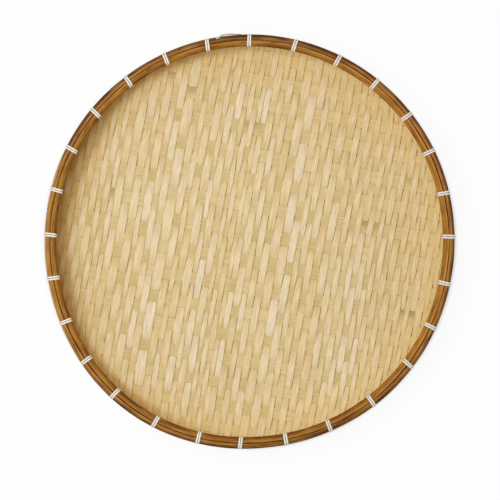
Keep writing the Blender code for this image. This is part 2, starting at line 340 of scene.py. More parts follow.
@dataclass
class Weave(Assembly):
    """The mat: narrow long strips, each over three cross strips and under the fourth.

    Neighbours dip two cross strips apart, and left of the slip every dip lies one cross
    strip nearer the viewer. So the even cross strips show on the right of the slip, and
    the odd ones on its left. Spans count in cross strips from a long strip's dip.

    Attributes:
        long_edges_mm: the edges of the hand-split long strips, which differ in width.
        cross_middles_mm: the middles of the hand-split cross strips.
        twin: the long strip that dips together with the one before it.
        slip: the first long strip on the right of the slip.
        knots: nodes of the cane: the cross strip, the place along it, and half a length.
    """

    dish: Dish
    lean_deg: float = 10.3
    bend: float = 0.052
    shift: tuple[float, float] = (0.00058, -0.00048)
    slack: float = 0.0007
    long_edges_mm: tuple[float, ...] = (
        -190.4, -182.3, -175.3, -168.7, -162.5, -155.6, -149.8, -143.5, -138.5, -131.0,
        -122.3, -114.0, -109.2, -101.4, -95.0, -87.8, -78.0, -70.6, -65.2, -58.0,
        -50.0, -45.2, -38.4, -31.3, -26.8, -21.7, -16.4, -11.8, -5.9, 1.2,
        7.1, 13.8, 21.2, 29.8, 38.4, 45.8, 51.2, 57.6, 64.6, 72.2,
        79.8, 86.4, 92.4, 98.8, 104.0, 110.4, 116.0, 121.4, 126.3, 132.3,
        138.0, 144.8, 151.3, 156.6, 161.0, 165.9, 172.6, 179.8, 185.3, 190.5)
    long_pitch_mm: float = 6.4
    twin: int = 27
    slip: int = 14
    repeat: int = 4
    long_thickness: float = 0.00046
    long_gap: float = 0.00016
    gap_spread: float = 0.00010
    wave_height: float = 0.00062
    rise_span: Span = (0.39, 0.73)
    arch: float = 0.00004
    bulge: float = 0.05
    bulge_span: Span = (0.9, 1.7)
    pinch: float = 0.07
    pinch_span: Span = (0.35, 0.85)
    crest_span: Span = (0.4, 1.9)
    long_step: float = 0.0018
    tilt: float = 0.022
    edge_wander: float = 0.00012
    long_waves: tuple[float, float, float] = (0.071, 0.19, 0.087)
    float_tones: int = 40
    own_tone: float = 0.4
    cross_middles_mm: tuple[float, ...] = (
        -183.0, -171.5, -160.0, -149.0, -138.5, -127.5, -115.0, -103.5, -91.7, -80.0,
        -67.7, -56.5, -44.2, -31.0, -19.0, -5.0, 9.0, 22.5, 34.8, 47.5,
        59.8, 72.0, 83.5, 97.0, 110.0, 122.0, 133.5, 145.0, 156.0, 168.0, 180.0)
    first_cross: int = -16
    cross_pitch_mm: float = 12.2
    cross_thickness: float = 0.00050
    cross_gap: float = 0.00035
    cross_step: float = 0.0024
    cross_waves: tuple[float, float] = (0.16, 0.05)
    cross_ripple: float = 0.00004
    cross_seed: float = 100.0
    shown_level: float = 0.00008
    hidden_level: float = -0.00058
    slip_width: float = 0.004
    # A cross strip's crest mark rises towards its far edge, where the finish pales it as it does the crests.
    cross_crest_span: Span = (0.1, 1.0)
    cross_crest_share: float = 0.6
    knots: tuple[tuple[int, float, float], ...] = (
        (11, -0.104, 0.006), (10, -0.082, 0.007), (12, -0.048, 0.005), (8, -0.018, 0.011),
        (6, 0.147, 0.012), (2, 0.112, 0.011), (-4, 0.164, 0.010), (1, -0.141, 0.003))
    long_pieces: int = 6
    cross_pieces: int = 2
    seed: int = 41
    section: Section = Section((-1, -0.955, -0.87, -0.60, 0.60, 0.87, 0.955, 1),
                               (0.30, 0.78, 0.96, 1.0, 1.0, 0.96, 0.78, 0.30))
    rng: np.random.Generator = field(init=False)

    def __post_init__(self) -> None:
        """Seeds the draws, and carries both rows of strips on to the mat's edge."""
        self.rng = np.random.default_rng(self.seed)
        self.reach = self.dish.edge_length() - self.slack
        self.long_edges, before = self.carried_on(self.long_edges_mm, self.long_pitch_mm)
        self.long_middles = (self.long_edges[1:] + self.long_edges[:-1]) / 2
        self.long_orders = np.arange(len(self.long_middles)) - before
        self.cross_middles, before = self.carried_on(self.cross_middles_mm, self.cross_pitch_mm)
        self.cross_orders = np.arange(len(self.cross_middles)) - before + self.first_cross
        self.cross_edges = (self.cross_middles[1:] + self.cross_middles[:-1]) / 2

    def carried_on(self, places_mm: tuple[float, ...], pitch_mm: float) -> tuple[Array, int]:
        """A row of places, carried on at a steady pitch to the mat's edge.

        Args:
            places_mm: the known places in millimetres, rising.
            pitch_mm: the pitch beyond them.

        Returns:
            All places in metres, and how many were put before the first.
        """
        edge_mm = 1000 * self.dish.edge_length()
        before = math.ceil((edge_mm + places_mm[0]) / pitch_mm)
        after = math.ceil((edge_mm - places_mm[-1]) / pitch_mm)
        low = places_mm[0] - pitch_mm * np.arange(before, 0, -1)
        high = places_mm[-1] + pitch_mm * np.arange(1, after + 1)
        return np.concatenate([low, places_mm, high]) / 1000, before

    def chords(self, off: Array, step: float) -> Array:
        """Places along lines that pass the middle at off: share x sqrt(reach^2 - off^2)."""
        half = np.sqrt(self.reach ** 2 - off ** 2)
        return np.linspace(-1, 1, round(2 * float(half.max()) / step))[:, None] * half

    def turned(self, a: Array, t: Array) -> tuple[Array, Array]:
        """Mat places turned by the strips' lean, and shifted.

        Args:
            a: places across the long strips.
            t: places along them.

        Returns:
            The flat x and y.
        """
        lean = math.radians(self.lean_deg)
        x = a * math.cos(lean) + t * math.sin(lean) + self.shift[0]
        return x, t * math.cos(lean) - a * math.sin(lean) + self.shift[1]

    def past_dip(self, order: int, t: Array) -> Array:
        """Places along a long strip, in cross strips from one of its dips: one in four is a dip."""
        first = 2 * ((order - (order >= self.twin)) % 2) - (order < self.slip)
        return np.interp(t, self.cross_middles, self.cross_orders.astype(float)) - first

    def long_strip(self, order: int, low: float, high: float) -> Sweep:
        """One long strip, from edge to edge of the mat.

        Its height eases from -wave_height at a dip to wave_height away from it. It is
        widest over the middle of a float and narrowest where it dips.

        Args:
            order: the strip's number, which says where it dips.
            low: its left edge.
            high: its right edge.

        Returns:
            The strip's skin.
        """
        middle = (low + high) / 2
        width = high - low - self.long_gap + self.rng.uniform(-self.gap_spread, self.gap_spread)
        across, height, side = self.section.points(
            width, self.long_thickness / 2, -self.long_thickness / 2)
        t = self.chords(middle + across, self.long_step)
        past = self.past_dip(order, t)
        away = np.abs((past + self.repeat / 2) % self.repeat - self.repeat / 2)
        up = eased(away, *self.rise_span)
        narrowed = self.pinch * (1 - eased(away, *self.pinch_span))
        swell = 1 + self.bulge * eased(away, *self.bulge_span) - narrowed
        uneven, drift, twist = (wander(self.rng, t, wave) for wave in self.long_waves)
        a = middle + across * swell + self.bend * t ** 2 + self.edge_wander * (uneven * side + drift)
        arched = self.arch * eased(away, 0, self.repeat / 2)
        lift = self.wave_height * (2 * up - 1) + arched + height + self.tilt * twist * across
        floats = self.rng.uniform(0, 1, self.float_tones)
        whole = self.own_tone * self.rng.uniform(0, 1)
        number = np.floor(past / self.repeat).astype(int) + self.float_tones // 2
        return Sweep.spread(
            self.dish.lay(*self.turned(a, t), lift), (t, across, order),
            tone=whole + (1 - self.own_tone) * floats[number],
            crest=eased(away, *self.crest_span), dip=1 - up, knot=0, side=side)

    def cross_strip(self, order: int, low: float, high: float) -> Sweep:
        """One cross strip, from edge to edge of the mat.

        It lies high where it shows, and low where every long strip passes over it. Its
        colour tone is drawn anew at each long strip, and runs straight between them.

        Args:
            order: the strip's number.
            low: its edge nearer the viewer.
            high: its far edge.

        Returns:
            The strip's skin.
        """
        across, height, side = self.section.points(
            high - low - self.cross_gap, self.cross_thickness / 2, -self.cross_thickness / 2)
        flat = (low + high) / 2 - across
        a = self.chords(flat, self.cross_step)
        uneven, ripple = (wander(self.rng, a, wave) for wave in self.cross_waves)
        t = flat + self.edge_wander * uneven * (1 + side)
        slip = self.long_edges[self.slip - self.long_orders[0]]
        right = eased((a - self.bend * t ** 2 - slip) / self.slip_width + 0.5)
        shown = right if order % 2 == 0 else 1 - right
        level = self.hidden_level + (self.shown_level - self.hidden_level) * shown
        tones = self.rng.uniform(0, 1, len(self.long_middles))
        knot = sum(np.exp(-((a - at) / half) ** 4) for which, at, half in self.knots if which == order)
        # Its hidden parts are marked as dips, which the finish paints with shade.
        return Sweep.spread(
            self.dish.lay(*self.turned(a, t), height + level + self.cross_ripple * ripple),
            (a, across, self.cross_seed + order), tone=np.interp(a, self.long_middles, tones),
            crest=self.cross_crest_share * eased(-side, *self.cross_crest_span), dip=1 - shown, knot=knot, side=side)

    def build(self, way: Way) -> Objects:
        """Builds the strips of one way, shared among a few pieces. The long ones come first.

        Args:
            way: which strips.

        Returns:
            The pieces.
        """
        strip, orders, edges, pieces = {
            Way.LONG: (self.long_strip, self.long_orders, self.long_edges, self.long_pieces),
            Way.CROSS: (self.cross_strip, self.cross_orders[1:-1], self.cross_edges, self.cross_pieces)}[way]
        outer = np.maximum(np.abs(edges[:-1]), np.abs(edges[1:]))
        built = []
        for number, group in enumerate(np.array_split(np.flatnonzero(outer < self.reach), pieces), start=1):
            sweeps = [strip(int(orders[i]), edges[i], edges[i + 1]) for i in group]
            built.append(Piece(f"{way.value}_strips_{number}", "pale_bamboo", ["woven_mat"], sweeps).build())
        return built


@dataclass
class Hoop(Assembly):
    """One bent bamboo strip, a full turn long and a lap more, whose ends taper together.

    Attributes:
        lap_deg: the direction in which the lap begins.
        ripples: for its waves in radius and in height, the shares of the direction's
            cosine and sine that they follow, and their wavelength.
    """

    name: str
    dish: Dish
    inner_radius: float
    width: float
    hollow_round: float
    outer_round: float
    lap_deg: float
    bottom: float = 0.026
    top: float = 0.042
    lap_length: float = 0.060
    lap_tip: float = 0.0008
    gap: float = 0.0003
    rim_radius: float = 0.200
    stations: int = 560
    across_points: int = 14
    swell: float = 0.00013
    ripples: tuple[tuple[Span, float], ...] = (((0.7, 1.0), 1.1), ((1.0, -0.6), 0.9))
    ripple_waves: int = 6
    seed: int = 5

    def drop(self, x: Array) -> Array:
        """How far the rounded corners draw the top down at x: radius - sqrt(radius^2 - past^2)."""
        corners = ((self.hollow_round, self.hollow_round - x),
                   (self.outer_round, x - self.width + self.outer_round))
        return sum(size - np.sqrt(size ** 2 - np.clip(past, 0, size) ** 2) for size, past in corners)

    def sweep(self) -> Sweep:
        """The hoop's skin, whose points across crowd towards both corners: (1 - cos) / 2.

        The first end tapers along the hollow side and the last end along the outer side,
        so that they lie together over the lap.

        Returns:
            The skin, with its place across the whole hoop as a mark.
        """
        lap, gap = self.lap_length / self.rim_radius, self.gap / self.rim_radius
        turn = np.linspace(0, math.tau + lap, self.stations)
        turn = np.unique(np.concatenate([turn, [lap, math.tau, math.tau - gap]]))[:, None]
        taper = self.width - 2 * self.lap_tip - self.gap
        first = self.lap_tip + taper * np.clip(turn / lap, 0, 1)
        last = self.lap_tip + self.gap + taper * np.clip(turn - math.tau, 0, None) / lap
        low = np.where(turn > math.tau - gap, last, 0)
        high = np.where(turn < lap + gap, first, self.width)
        share = (1 - np.cos(np.linspace(0, math.pi, self.across_points))) / 2
        x = low + (high - low) * share
        rng = np.random.default_rng(self.seed)
        angle = math.radians(self.lap_deg) + turn
        place = np.stack([np.cos(angle), np.sin(angle)], -1)
        ripple, rise = (self.swell * wander(rng, place @ np.array(mix), wave, self.ripple_waves)
                        for mix, wave in self.ripples)
        radius = (self.inner_radius + x + ripple) * self.dish.stretch(angle)
        flat = radius[..., None] * place
        upper = np.concatenate([flat, (self.top + rise - self.drop(x))[..., None]], -1)
        under = np.concatenate([flat, (self.bottom + rise + self.drop(x))[..., None]], -1)
        points = np.concatenate([upper, under[:, ::-1]], 1)
        both = np.concatenate([x, x[:, ::-1]], 1)
        around = both + self.top - points[..., 2]
        return Sweep.spread(points, (turn * self.rim_radius, around, self.seed), cross=both / self.width)

    def build(self) -> Objects:
        """Builds the hoop as one piece."""
        return [Piece(f"{self.name}_strip", "amber_bamboo", [self.name], [self.sweep()]).build()]


@dataclass
class Bindings(Assembly):
    """The white strands: each wound twice round both hoops and through the mat.

    Attributes:
        lean_deg: the most that a lashing is turned about its own upright axis.
        places_deg: where round the rim they are tied.
    """

    dish: Dish
    inner: Hoop
    outer: Hoop
    middle_radius: float = 0.19430
    wall_outer: float = 0.1950
    clearance: float = 0.00014
    strand_width: float = 0.00172
    strand_thickness: float = 0.00048
    strand_pitch: float = 0.00214
    tail: float = 0.0030
    turns: int = 2
    lean_deg: float = 2.5
    lean_seed: int = 7
    uneven: float = 0.00005
    uneven_wave: float = 0.021
    bend_steps: int = 9
    span_steps: int = 7
    section: Section = Section((-1, -0.93, -0.72, -0.34, 0.34, 0.72, 0.93, 1),
                               (0.42, 0.68, 0.88, 1.0, 1.0, 0.88, 0.68, 0.42))
    places_deg: tuple[float, ...] = (
        1.5, 14, 26.5, 38.5, 51.5, 64, 77, 90, 102, 114.5, 127, 140, 152.5, 165, 178, 190.5,
        203.5, 216, 228.5, 242.5, 255.5, 267.5, 280.5, 293.5, 307.5, 322.5, 335, 348)

    def turn_path(self) -> tuple[Array, Array]:
        """One turn round the hoops: four rounded corners joined by straight spans.

        Returns:
            Points (across, height) from the middle of the rim, and outward directions.
        """
        inner = self.inner.inner_radius - self.clearance - self.middle_radius
        outer = self.outer.inner_radius + self.outer.width + self.clearance - self.middle_radius
        bottom, top = self.inner.bottom - self.clearance, self.inner.top + self.clearance
        bend = self.inner.hollow_round + self.clearance
        corners = ((outer - bend, bottom + bend, -90), (outer - bend, top - bend, 0),
                   (inner + bend, top - bend, 90), (inner + bend, bottom + bend, 180))
        share = np.linspace(0, 1, self.span_steps)[1:-1, None]
        points, normals = [], []
        for x, z, first in corners:
            turn = np.radians(first + np.linspace(0, 90, self.bend_steps))
            out = np.stack([np.cos(turn), np.sin(turn)], -1)
            for path, corner in ((points, np.array([x, z]) + bend * out), (normals, out)):
                if path:
                    path.append(path[-1][-1] * (1 - share) + corner[0] * share)
                path.append(corner)
        return np.concatenate(points), np.concatenate(normals)

    def winding(self) -> tuple[Array, Array, Array, Array]:
        """The whole winding: a start by the mat's wall, the turns, and a tucked end.

        It steps sideways at a steady rate, by one pitch for each turn's length.

        Returns:
            Points (across, height), outward directions, the length run, and the sideways shift.
        """
        path, out = self.turn_path()
        start = path[0] * [0, 1] + [self.wall_outer + self.inner.gap - self.middle_radius, 0]
        points = np.concatenate([[start], *[path] * self.turns, [start + [self.tail, 0]]])
        normals = np.concatenate([[out[0]], *[out] * self.turns, [out[0]]])
        run = run_along(points)
        one_turn = run_along(path)[-1] + np.hypot(*(path[0] - path[-1]))
        shift = -self.strand_pitch * self.turns / 2 + self.strand_pitch * run / one_turn
        return points, normals, run, shift

    def strand(self, number: int, angle: float, lean: float, rng: np.random.Generator) -> Sweep:
        """One lashing, as a flat strand with a crowned outer face.

        Args:
            number: the lashing's number.
            angle: its place round the rim, in radians.
            lean: how far it is turned about its own upright axis.
            rng: the source of its small unevenness.

        Returns:
            The strand's skin.
        """
        points, normals, run, shift = self.winding()
        side, height, edge = self.section.points(self.strand_width, self.strand_thickness, 0.0)
        run = run[:, None]
        flat = points[:, None] + normals[:, None] * height[None, :, None]
        across = side + shift[:, None] + self.uneven * wander(rng, run, self.uneven_wave)
        base = self.middle_radius * self.dish.stretch(np.array(angle))
        turn = angle + lean
        x = base * math.cos(angle) + flat[..., 0] * math.cos(turn) - across * math.sin(turn)
        y = base * math.sin(angle) + flat[..., 0] * math.sin(turn) + across * math.cos(turn)
        place = np.stack([x, y, flat[..., 1]], -1)
        return Sweep.spread(place, (run, side, number), edge=np.abs(edge), tone=rng.uniform(0, 1))

    def build(self) -> Objects:
        """Builds every lashing as a piece of its own.

        Returns:
            The lashings, in order round the rim.
        """
        leans = random.Random(self.lean_seed)
        rng = np.random.default_rng(self.lean_seed)
        built = []
        for number, degrees in enumerate(self.places_deg, start=1):
            lean = math.radians(leans.uniform(-self.lean_deg, self.lean_deg))
            sweep = self.strand(number, math.radians(degrees), lean, rng)
            name, node = f"lashing_strand_{number:02d}", f"lashing_{number:02d}"
            built.append(Piece(name, "white_strand", [node], [sweep]).build())
        return built


@dataclass
class LooseEnd(Assembly):
    """The strand end that comes up the outer hoop, bulges out and tucks over its edge."""

    dish: Dish
    rim_radius: float = 0.2002
    start_deg: float = 92.2
    end_deg: float = 99.2
    bulge: float = 0.0008
    tuck: float = 0.0018
    tuck_from: float = 0.75
    start_height: float = 0.0320
    end_height: float = 0.0427
    lean_deg: float = 72.0
    width: float = 0.0018
    thickness: float = 0.0006
    gap: float = 0.0003
    stations: int = 48
    seed: int = 77
    section: Section = Section((-1, -0.9, -0.6, 0.6, 0.9, 1), (0.3, 0.75, 1, 1, 0.75, 0.3))

    def sweep(self) -> Sweep:
        """The strand's skin.

        It leaves the hoop by bulge sin^2 and climbs by a quarter sine, and it twists from
        upright to nearly flat on its way over the hoop's shoulder.

        Returns:
            The skin.
        """
        share = np.linspace(1, 0, self.stations)[:, None]
        angle = np.radians(self.start_deg + (self.end_deg - self.start_deg) * share)
        climb = np.sin(share * math.pi / 2)
        roll = math.radians(self.lean_deg) * climb
        across, height, side = self.section.points(self.width, self.thickness / 2, -self.thickness / 2)
        out = self.rim_radius + self.gap + self.bulge * np.sin(share * math.pi) ** 2
        out = out - self.tuck * eased(share, self.tuck_from) + self.thickness / 2
        radius = (out + height * np.cos(roll) - across * np.sin(roll)) * self.dish.stretch(angle)
        middle = self.start_height + (self.end_height - self.start_height) * climb
        level = middle + height * np.sin(roll) + across * np.cos(roll)
        points = np.stack([radius * np.cos(angle), radius * np.sin(angle), level], -1)
        along = share * (self.rim_radius * math.radians(self.end_deg - self.start_deg))
        return Sweep.spread(points, (along, across, self.seed), edge=np.abs(side))

    def build(self) -> Objects:
        """Builds the loose end as one piece."""
        return [Piece("loose_end_strand", "white_strand", ["loose_strand_end"], [self.sweep()]).build()]


class Wiring:
    """A short hand for wiring the nodes of one shader or group."""

    def __init__(self, tree: Tree) -> None:
        """Takes the node tree that it wires."""
        self.tree = tree

    def add(self, kind: str, inputs: dict[Union[str, int], Value] | None = None,
            **settings: object) -> bpy.types.Node:
        """Adds a node, sets it, and links or fills its inputs.

        Args:
            kind: the node's type.
            inputs: a socket or a plain value for each input, by name or number.
            settings: the node's own properties.

        Returns:
            The node.
        """
        node = self.tree.nodes.new(kind)
        for name, value in settings.items():
            setattr(node, name, value)
        for name, value in (inputs or {}).items():
            self.feed(node.inputs[name], value)
        return node

    def feed(self, entry: Socket, value: Value) -> None:
        """Links a socket into an input, or writes a plain value there.

        Args:
            entry: the input.
            value: what it takes, where a plain colour has three parts.
        """
        if isinstance(value, Socket):
            self.tree.links.new(value, entry)
        elif isinstance(value, tuple) and len(value) == 3 and entry.type == "RGBA":
            entry.default_value = (*value, 1.0)
        else:
            entry.default_value = value

    def sum(self, operation: str, first: Value, second: Value = 0.0) -> Socket:
        """One sum of two values, such as ADD, MAXIMUM or DIVIDE."""
        return self.add("ShaderNodeMath", {0: first, 1: second}, operation=operation).outputs[0]

    def times(self, first: Value, second: Value) -> Socket:
        """The product of two values."""
        return self.sum("MULTIPLY", first, second)

    def vector(self, operation: str, first: Value, second: Value = (0, 0, 0)) -> Sockets:
        """One sum of two vectors: its Vector and its Value."""
        node = self.add("ShaderNodeVectorMath", {0: first, 1: second}, operation=operation)
        return {socket.name: socket for socket in node.outputs}

    def ramp(self, value: Value, low: float, high: float, start: float = 0.0,
             end: float = 1.0) -> Socket:
        """A value brought from low..high to start..end, smoothly and held at both ends."""
        return self.add("ShaderNodeMapRange", {
            "Value": value, "From Min": low, "From Max": high, "To Min": start, "To Max": end},
            interpolation_type="SMOOTHSTEP").outputs["Result"]

    def blend(self, share: Value, first: Value, second: Value) -> Socket:
        """Two colours mixed by a share."""
        return self.add("ShaderNodeMix", {0: share, 6: first, 7: second}, data_type="RGBA").outputs[2]

    def stripes(self, value: Value, stops: Stripe) -> Socket:
        """A colour for each place along a row of stops, held beyond the first and the last.

        Args:
            value: the place.
            stops: places, rising, with their colours.

        Returns:
            The colour.
        """
        node = self.add("ShaderNodeValToRGB", {"Fac": value})
        row = node.color_ramp.elements
        for end, (place, colour) in ((0, stops[0]), (1, stops[-1])):
            row[end].position = place
            row[end].color = (*colour, 1)
        for place, colour in stops[1:-1]:
            row.new(place).color = (*colour, 1)
        return node.outputs["Color"]

    def noise(self, place: Socket, detail: float, rough: float = 0.5) -> Socket:
        """Cloudy noise of 0 to 1, about one unit large."""
        return self.add("ShaderNodeTexNoise", {
            "Vector": place, "Scale": 1.0, "Detail": detail, "Roughness": rough}).outputs["Fac"]

    def place(self) -> Socket:
        """The place on the tray, on Object coordinates."""
        return self.add("ShaderNodeTexCoord").outputs["Object"]

    def toward(self, degrees: float) -> Socket:
        """How far a place lies from the tray's middle in one direction."""
        turn = math.radians(degrees)
        return self.vector("DOT_PRODUCT", self.place(), (math.cos(turn), math.sin(turn), 0))["Value"]

    def height(self) -> Socket:
        """How high a place lies over the table."""
        return self.add("ShaderNodeSeparateXYZ", {0: self.place()}).outputs["Z"]

    @cached_property
    def away(self) -> Socket:
        """How far a place lies from the tray's upright axis."""
        flat = self.vector("MULTIPLY", self.place(), (1, 1, 0))["Vector"]
        return self.vector("LENGTH", flat)["Value"]

    def mark(self, name: str, kind: str = "Fac") -> Socket:
        """One of a piece's marks, or its lay as a Vector."""
        return self.add("ShaderNodeAttribute", attribute_name=name).outputs[kind]


def new_group(name: str, entries: dict[str, str],
              exits: dict[str, str]) -> tuple[Wiring, Sockets, Sockets]:
    """An empty shader group with named sockets.

    Args:
        name: the group's name.
        entries: each input's kind, Float, Color or Vector.
        exits: each output's kind.

    Returns:
        The wiring hand, what comes in, and what goes out.
    """
    tree = bpy.data.node_groups.new(name, "ShaderNodeTree")
    for way, sockets in (("INPUT", entries), ("OUTPUT", exits)):
        for label, kind in sockets.items():
            tree.interface.new_socket(label, in_out=way, socket_type=f"NodeSocket{kind}")
    come, leave = tree.nodes.new("NodeGroupInput"), tree.nodes.new("NodeGroupOutput")
    return (Wiring(tree), {label: come.outputs[label] for label in entries},
            {label: leave.inputs[label] for label in exits})


def grain_group() -> Tree:
    """Lengthwise grain: noise on (along / length, across / width, seed).

    Returns:
        A group that gives broad streaks, fine fibres and a fibre height, all 0 to 1.
    """
    w, come, leave = new_group(
        "Lengthwise grain", {"Lay": "Vector", **{size: "Float" for size in GRAIN_SIZES}},
        {"Streak": "Float", "Fibre": "Float", "Height": "Float"})
    lay = w.add("ShaderNodeSeparateXYZ", {0: come["Lay"]}).outputs
    seed = w.times(lay[2], SEED_STEP)

    def lines(kind: str, shift: float) -> Socket:
        """The place stretched for lines of this kind's length and width."""
        return w.add("ShaderNodeCombineXYZ", {
            0: w.sum("DIVIDE", lay[0], come[f"{kind} Length"]),
            1: w.sum("DIVIDE", lay[1], come[f"{kind} Width"]), 2: w.sum("ADD", seed, shift)}).outputs[0]

    streak = w.noise(lines("Streak", 0.0), 2.0)
    fibre = w.noise(lines("Fibre", FIBRE_SHIFT), 3.0, FIBRE_ROUGH)
    w.feed(leave["Streak"], w.ramp(streak, *STREAK_SPAN))
    w.feed(leave["Fibre"], w.ramp(fibre, *FIBRE_SPAN))
    w.feed(leave["Height"], fibre)
    return w.tree


def tint_group() -> Tree:
    """Wood colour: from body to pale by the streaks, towards deep by fibres and by a mask.

    Returns:
        A group that gives the mixed colour.
    """
    w, come, leave = new_group(
        "Split bamboo tint", {"Body": "Color", "Pale": "Color", "Deep": "Color", "Streak": "Float",
                              "Fibre": "Float", "Mask": "Float"}, {"Colour": "Color"})
    pale = w.blend(come["Streak"], come["Body"], come["Pale"])
    w.feed(leave["Colour"], w.blend(w.sum("MAXIMUM", come["Fibre"], come["Mask"]), pale, come["Deep"]))
    return w.tree


@dataclass(frozen=True)
class Groups:
    """The shader groups that all finishes share."""

    grain: Tree
    tint: Tree


@dataclass(frozen=True)
class SideTint:
    """A colour that grows towards one side of the tray.

    Attributes:
        reach: distances from the middle in that direction over which it comes in.
        share: its full share.
        radii: distances from the upright axis over which it comes in, or none.
    """

    colour: Colour
    toward_deg: float
    reach: Span
    share: float
    radii: Span | None = None


class Paint(Wiring):
    """The wiring of one material with the shared groups."""

    def __init__(self, tree: Tree, groups: Groups) -> None:
        """Takes the material's node tree and the groups."""
        super().__init__(tree)
        self.groups = groups

    def lines(self, lay: Socket, grain: Grain) -> Sockets:
        """The streaks and fibres of a grain at a lay: Streak, Fibre and Height."""
        node = self.add("ShaderNodeGroup", {"Lay": lay, **dict(zip(GRAIN_SIZES, grain))},
                        node_tree=self.groups.grain)
        return {socket.name: socket for socket in node.outputs}

    def side_tinted(self, base: Socket, side_tint: SideTint) -> Socket:
        """A colour with a side tint over it, such as painted shade near the rim.

        Args:
            base: the colour below.
            side_tint: the tint, which may keep to some radii.

        Returns:
            The colour.
        """
        share = self.ramp(self.toward(side_tint.toward_deg), *side_tint.reach, 0.0, side_tint.share)
        if side_tint.radii:
            share = self.times(share, self.ramp(self.away, *side_tint.radii))
        return self.blend(share, base, side_tint.colour)

    def tinted(self, **inputs: Value) -> Socket:
        """The tint group's colour, with each input under its name in small letters."""
        named = {name.capitalize(): value for name, value in inputs.items()}
        return self.add("ShaderNodeGroup", named, node_tree=self.groups.tint).outputs["Colour"]


@dataclass(frozen=True, kw_only=True)
class Finish:
    """What every finish has: grain, roughness between fibres and on them, gloss, and relief."""

    name: str
    grain: Grain
    roughness: Span
    gloss: float
    bump: float = 0.6
    relief: float

    def colour(self, w: Paint, lines: Sockets) -> Socket:
        """The finish's colour, which each kind of finish wires itself."""
        raise NotImplementedError

    def material(self, groups: Groups) -> Material:
        """Makes the material: its colour, its roughness by the fibres, and its relief.

        Args:
            groups: the shared shader groups.

        Returns:
            The material.
        """
        material = bpy.data.materials.new(self.name)
        material.use_nodes = True
        w = Paint(material.node_tree, groups)
        shader = material.node_tree.nodes["Principled BSDF"]
        lines = w.lines(w.mark("lay", "Vector"), self.grain)
        smooth, rough = self.roughness
        bump = w.add("ShaderNodeBump", {
            "Strength": self.bump, "Distance": self.relief, "Height": lines["Height"]})
        shader.inputs["Specular IOR Level"].default_value = self.gloss
        w.feed(shader.inputs["Base Color"], self.colour(w, lines))
        w.feed(shader.inputs["Roughness"],
               smooth if smooth == rough else w.ramp(lines["Fibre"], 0, 1, smooth, rough))
        w.feed(shader.inputs["Normal"], bump.outputs["Normal"])
        return material


